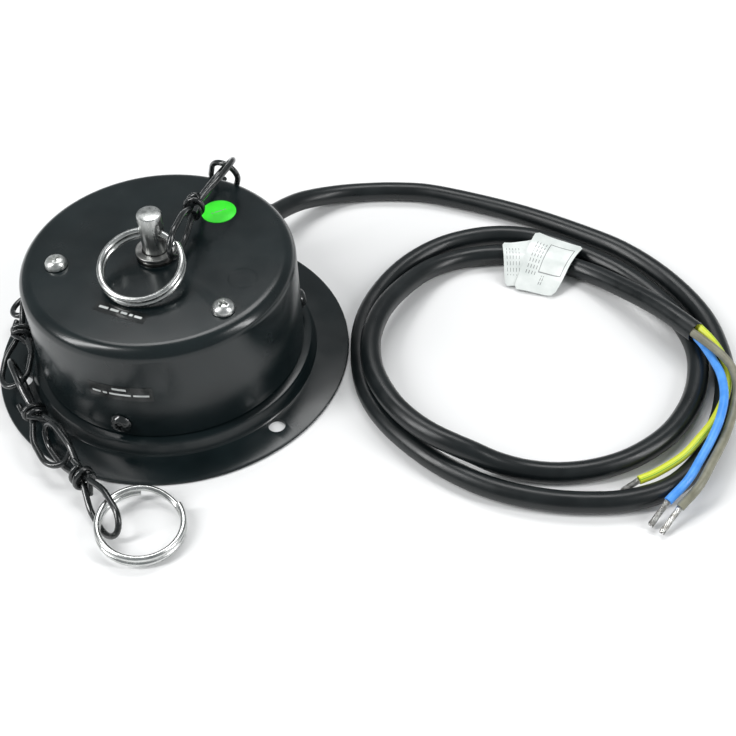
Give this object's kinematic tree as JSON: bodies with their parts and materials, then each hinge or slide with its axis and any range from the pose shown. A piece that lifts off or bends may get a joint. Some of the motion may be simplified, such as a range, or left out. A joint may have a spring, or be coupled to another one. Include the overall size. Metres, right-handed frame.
{
  "type": "mirror-ball motor",
  "caption": "Round flanged geared motor with a vertical cross-drilled shaft, split rings, a safety chain and a bare-ended lead.",
  "frame": {"origin": "centre of the base plate's flat back, which lies on the surface or against the ceiling", "axes": "+Z along the output shaft, out of the housing; the shaft's top hole side and the chain lie towards -Y"},
  "size_m": [0.2474, 0.1726, 0.0613],
  "materials": {
    "enamel": "black, satin gloss",
    "steel": "bright, zinc plated",
    "nickel": "bright nickel",
    "black_wire": "black, glossy",
    "brass": "plain",
    "copper": "enamelled copper wire",
    "ferrite": "matt ferrite",
    "nylon": "natural nylon",
    "rubber": "black, matt",
    "cord": "black, soft sheen",
    "core_blue": "sky blue insulation",
    "core_brown": "grey-brown insulation",
    "core_yellow": "yellow and green insulation",
    "tinned": "tinned stranded copper",
    "tag": "white film",
    "sticker": "green paper"
  },
  "bodies": {
    "root": {"base_plate": "enamel", "housing_cup": "enamel", "fixing_tab_1": "steel", "fixing_tab_2": "steel", "fixing_tab_3": "steel", "side_screw_1": "black_wire", "side_screw_2": "black_wire", "side_screw_3": "black_wire", "motor_screw_1": "steel", "motor_screw_2": "steel", "motor_nut_1": "steel", "motor_nut_2": "steel", "bearing_bush": "brass", "gearbox_lid": "steel", "gearbox_shell": "steel", "gearbox_plate": "steel", "middle_axle": "steel", "first_axle": "steel", "stator_can": "steel", "coil_bobbin": "nylon", "coil_winding": "copper", "pole_plate": "steel", "motor_lead_1": "rubber", "motor_lead_2": "rubber", "terminal_block": "nylon", "inner_core_brown": "core_brown", "inner_core_yellow": "core_yellow", "inner_core_blue": "core_blue", "cable_grommet": "rubber", "cord_stop": "nylon", "chain_link_1": "black_wire", "chain_link_2": "black_wire", "chain_link_3": "black_wire", "chain_link_4": "black_wire", "chain_link_5": "black_wire", "chain_link_6": "black_wire", "chain_link_7": "black_wire", "mains_cord": "cord", "core_blue": "core_blue", "core_brown": "core_brown", "core_yellow": "core_yellow", "core_blue_tip": "tinned", "core_brown_tip": "tinned", "core_yellow_tip": "tinned", "cable_tag": "tag", "green_sticker": "sticker"},
    "shaft": {"output_shaft": "steel", "shaft_washer": "steel", "retaining_clip": "steel", "output_gear": "nylon"},
    "middle_gears": {"middle_pinion": "brass", "middle_wheel": "nylon"},
    "first_gears": {"first_pinion": "brass", "first_wheel": "nylon"},
    "rotor": {"rotor_pinion": "brass", "rotor_axle": "steel", "rotor_magnet": "ferrite"},
    "upper_ring": {"upper_split_ring": "nickel"},
    "lower_ring": {"lower_split_ring": "nickel"}
  },
  "joints": [
    {"name": "shaft_spin", "type": "hinge", "parent": "root", "child": "shaft", "pos_m": [0, 0, 0.0534], "axis": [0, 0, -1], "continuous": true, "deforming": ["chain_link_1", "chain_link_2", "chain_link_3", "chain_link_4", "chain_link_5", "chain_link_6", "chain_link_7"]},
    {"name": "middle_spin", "type": "hinge", "parent": "root", "child": "middle_gears", "pos_m": [-0.00958, -0.00404, 0.033], "axis": [0, 0, -1], "continuous": true},
    {"name": "first_spin", "type": "hinge", "parent": "root", "child": "first_gears", "pos_m": [-0.0171, -0.0134, 0.03], "axis": [0, 0, -1], "continuous": true},
    {"name": "rotor_spin", "type": "hinge", "parent": "root", "child": "rotor", "pos_m": [-0.0047, -0.015, 0.02], "axis": [0, 0, -1], "continuous": true},
    {"name": "upper_ring_swing", "type": "hinge", "parent": "shaft", "child": "upper_ring", "pos_m": [0, 0, 0.0534], "axis": [-0.9724, 0.2334, 0], "range_deg": [0, 20]},
    {"name": "lower_ring_swing", "type": "hinge", "parent": "root", "child": "lower_ring", "pos_m": [-0.0163, -0.0718, 0.005], "axis": [-0.4695, -0.8829, 0], "range_deg": [0, 80], "deforming": ["chain_link_7"]}
  ],
  "couplings": [
    {"joint": "middle_spin", "follows": "shaft_spin", "ratio": -2.25},
    {"joint": "first_spin", "follows": "shaft_spin", "ratio": 9},
    {"joint": "rotor_spin", "follows": "shaft_spin", "ratio": -36}
  ]
}
